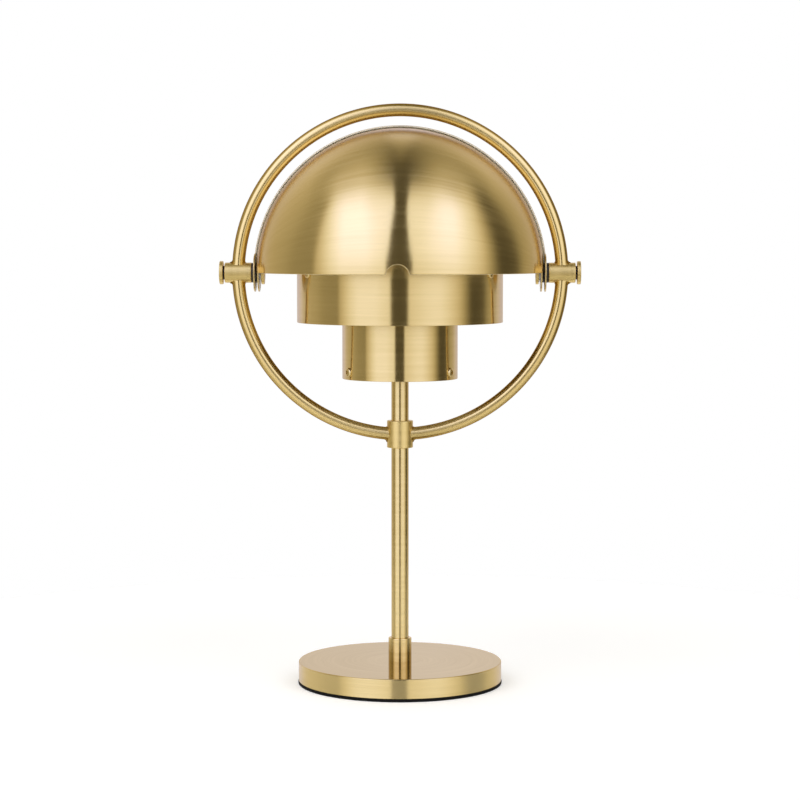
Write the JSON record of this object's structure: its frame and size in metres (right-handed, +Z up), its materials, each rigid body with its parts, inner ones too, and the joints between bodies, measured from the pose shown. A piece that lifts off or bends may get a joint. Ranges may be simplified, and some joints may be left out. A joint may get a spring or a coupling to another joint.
{
  "type": "desk lamp",
  "caption": "Brushed-brass desk lamp: quarter-sphere shades swing on a ring round open cylinders that hide the bulb, on a slim stem and a round weighted base.",
  "frame": {"origin": "on the table under the middle of the stem, at the bottom of the pad", "axes": "+Z up along the stem, +X to the viewer's right along the shades' pivots, -Y to the front, +Y to the cord inlet"},
  "size_m": [0.31, 0.2487, 0.5],
  "materials": {
    "brushed_brass": "fine brushed and clear lacquered, the shades' insides painted white",
    "brushed_steel": "zinc plated, satin",
    "black_plastic": "matte",
    "black_rubber": "matte",
    "cast_iron": "as cast",
    "white_plastic": "matte",
    "opal_glass": "opal white, satin"
  },
  "bodies": {
    "stand": {"base_pad": "black_rubber", "base_shell": "brushed_brass", "base_weight": "cast_iron", "cord_bush": "black_plastic", "cord_clamp": "black_plastic", "terminal_block": "white_plastic", "base_screws": "brushed_steel", "inner_lead": "black_rubber", "foot_stud": "brushed_steel", "foot_washer": "brushed_steel", "foot_nut": "brushed_steel", "stem_ferrule": "brushed_brass", "stem_tube": "brushed_brass", "ring_upper_arc": "brushed_brass", "ring_lower_left_arc": "brushed_brass", "ring_lower_right_arc": "brushed_brass", "ring_bottom_boss": "brushed_brass", "ring_grub_screw": "brushed_steel", "left_pivot_boss": "brushed_brass", "right_pivot_boss": "brushed_brass", "left_pivot_pin": "brushed_brass", "right_pivot_pin": "brushed_brass", "neck_washers": "black_plastic", "outer_friction_washers": "black_plastic", "inner_friction_washers": "black_plastic", "spring_washers": "brushed_steel", "pivot_nuts": "brushed_brass", "drum": "brushed_brass", "drum_screws": "brushed_brass", "drum_spider": "brushed_steel", "spider_rivets": "brushed_steel", "lower_cylinder": "brushed_brass", "lower_cylinder_screws": "brushed_brass", "lower_carrier": "brushed_steel", "holder_nipple": "brushed_steel", "carrier_nut": "brushed_steel", "lampholder_cup": "black_plastic", "lampholder_insert": "white_plastic", "bulb_contact": "brushed_steel", "bulb_cap": "brushed_steel", "bulb_glass": "opal_glass"},
    "front_shade": {"front_shade": "brushed_brass"},
    "back_shade": {"back_shade": "brushed_brass"}
  },
  "joints": [
    {"name": "front_shade_swing", "type": "hinge", "parent": "stand", "child": "front_shade", "pos_m": [0, 0, 0.3555], "axis": [1, 0, 0], "range_deg": [-175, 90]},
    {"name": "back_shade_swing", "type": "hinge", "parent": "stand", "child": "back_shade", "pos_m": [0, 0, 0.3555], "axis": [-1, 0, 0], "range_deg": [-175, 90]}
  ]
}
